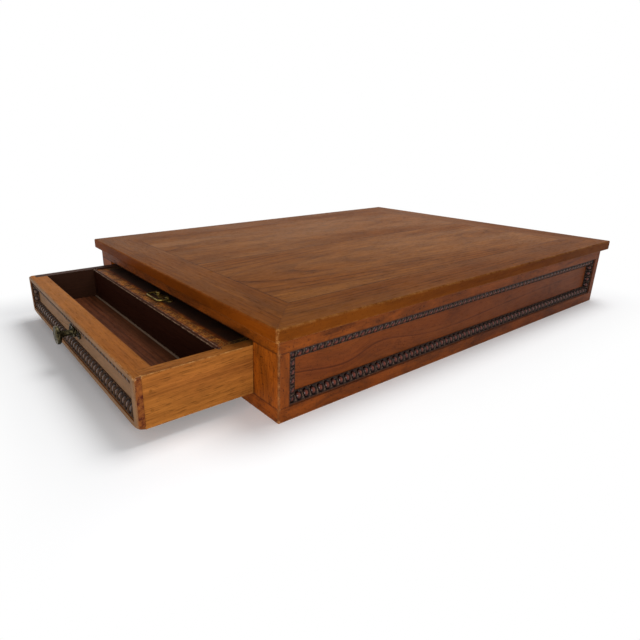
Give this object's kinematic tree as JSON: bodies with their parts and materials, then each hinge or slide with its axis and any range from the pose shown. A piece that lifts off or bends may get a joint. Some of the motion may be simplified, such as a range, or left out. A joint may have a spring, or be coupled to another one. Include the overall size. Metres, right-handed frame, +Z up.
{
  "type": "letter writing box with drawer",
  "caption": "Low wooden letter writing box with a mitred top, sunk panels framed in egg-and-dart moulding, and an end drawer with a pen trough and a leather-covered writing slide",
  "frame": {"origin": "Under the middle of the case, on its flat underside", "axes": "+X across the box to the right of someone facing the drawer, +Y along it from the drawer end to the back end, +Z up"},
  "size_m": [0.34, 0.5432, 0.0685],
  "materials": {
    "top_wood": "waxed walnut-brown hardwood, faded and worn at the arrises",
    "case_wood": "old french polish over orange-brown hardwood",
    "moulding_wood": "dark stained and polished, carved",
    "drawer_oak": "bare aged oak",
    "drawer_lining": "dark stained mahogany",
    "carcase_pine": "bare aged pine",
    "slide_wood": "thin mahogany board",
    "leather": "tan skiver with a worn gilt-tooled border",
    "brass": "dull aged cast brass",
    "iron": "dull iron screws and pins"
  },
  "bodies": {
    "case": {"top_border_front": "top_wood", "top_border_back": "top_wood", "top_border_left": "top_wood", "top_border_right": "top_wood", "top_field_left": "top_wood", "top_field_right": "top_wood", "side_panel_left": "case_wood", "side_panel_right": "case_wood", "end_panel": "case_wood", "side_rail_bottom_left": "case_wood", "side_rail_bottom_right": "case_wood", "side_rail_top_left": "case_wood", "side_rail_top_right": "case_wood", "side_stile_front_left": "case_wood", "side_stile_front_right": "case_wood", "side_stile_back_left": "case_wood", "side_stile_back_right": "case_wood", "end_rail_bottom": "case_wood", "end_rail_top": "case_wood", "end_stile_left": "case_wood", "end_stile_right": "case_wood", "front_rail_bottom": "case_wood", "front_rail_top": "case_wood", "front_post_left": "case_wood", "front_post_right": "case_wood", "bottom_board": "carcase_pine", "drawer_runner_left": "carcase_pine", "drawer_runner_right": "carcase_pine", "drawer_guide_left": "carcase_pine", "drawer_guide_right": "carcase_pine", "drawer_kicker_left": "carcase_pine", "drawer_kicker_right": "carcase_pine", "drawer_stops": "carcase_pine", "glue_blocks": "carcase_pine", "top_screws": "iron", "bottom_screws": "iron", "moulding_left": "moulding_wood", "moulding_right": "moulding_wood", "moulding_end": "moulding_wood"},
    "drawer": {"drawer_front": "case_wood", "drawer_side_left": "drawer_oak", "drawer_side_right": "drawer_oak", "drawer_bottom": "drawer_lining", "drawer_partition": "drawer_lining", "drawer_back": "drawer_lining", "moulding_drawer": "moulding_wood", "drawer_pins": "iron", "knob_plate": "brass", "knob": "brass", "knob_nut": "brass", "knob_tacks": "brass"},
    "writing_slide": {"slide_core": "slide_wood", "slide_clamp_front": "slide_wood", "slide_clamp_back": "slide_wood", "slide_leather": "leather", "pull_plate": "brass", "pull_posts": "brass", "pull_nuts": "brass"},
    "pull_handle": {"pull_bail": "brass"}
  },
  "joints": [
    {"name": "drawer_slide", "type": "slide", "parent": "case", "child": "drawer", "axis": [0, -1, 0], "range_m": [-0.0823, 0.1575]},
    {"name": "writing_slide_run", "type": "slide", "parent": "drawer", "child": "writing_slide", "axis": [0, 1, 0], "range_m": [0, 0.09]},
    {"name": "pull_handle_hinge", "type": "hinge", "parent": "writing_slide", "child": "pull_handle", "pos_m": [0, -0.2248, 0.0461], "axis": [-1, 0, 0], "range_deg": [0, 90]}
  ]
}
